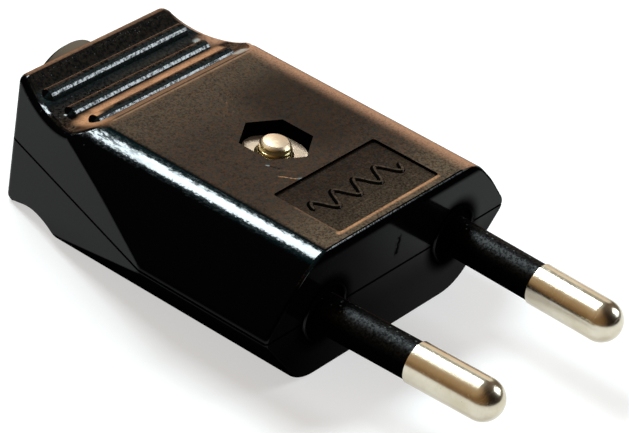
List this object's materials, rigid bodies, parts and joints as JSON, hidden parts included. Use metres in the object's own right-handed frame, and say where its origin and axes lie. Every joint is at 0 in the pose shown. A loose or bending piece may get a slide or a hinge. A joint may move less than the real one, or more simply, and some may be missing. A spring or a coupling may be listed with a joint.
{
  "type": "two-pin electrical plug",
  "caption": "Flat hexagonal two-pin mains plug in black plastic, with sleeved round pins, a nut pocket and ribbed finger scoops.",
  "frame": {"origin": "centre of the flat front face between the two pins, on the plane where the shells meet", "axes": "-Y the way the pins point, +Y the way the cord leaves, +X across the two pins, +Z the side with the nut"},
  "size_m": [0.0344, 0.0583, 0.0136],
  "materials": {
    "shell_black": "glossy black moulded plastic",
    "sleeve_black": "black insulating sleeve",
    "clamp_black": "plain black moulding",
    "pin_nickel": "nickel-plated brass, polished",
    "nut_nickel": "nickel-plated",
    "screw_steel": "zinc-plated steel"
  },
  "bodies": {
    "root": {"upper_shell": "shell_black", "lower_shell": "shell_black", "pin_left": "pin_nickel", "pin_right": "pin_nickel", "pin_sleeve_left": "sleeve_black", "pin_sleeve_right": "sleeve_black", "terminal_screw_left": "screw_steel", "terminal_screw_right": "screw_steel", "cord_clamp": "clamp_black", "clamp_screw_left": "screw_steel", "clamp_screw_right": "screw_steel", "case_screw": "screw_steel", "case_nut": "nut_nickel"}
  },
  "joints": []
}
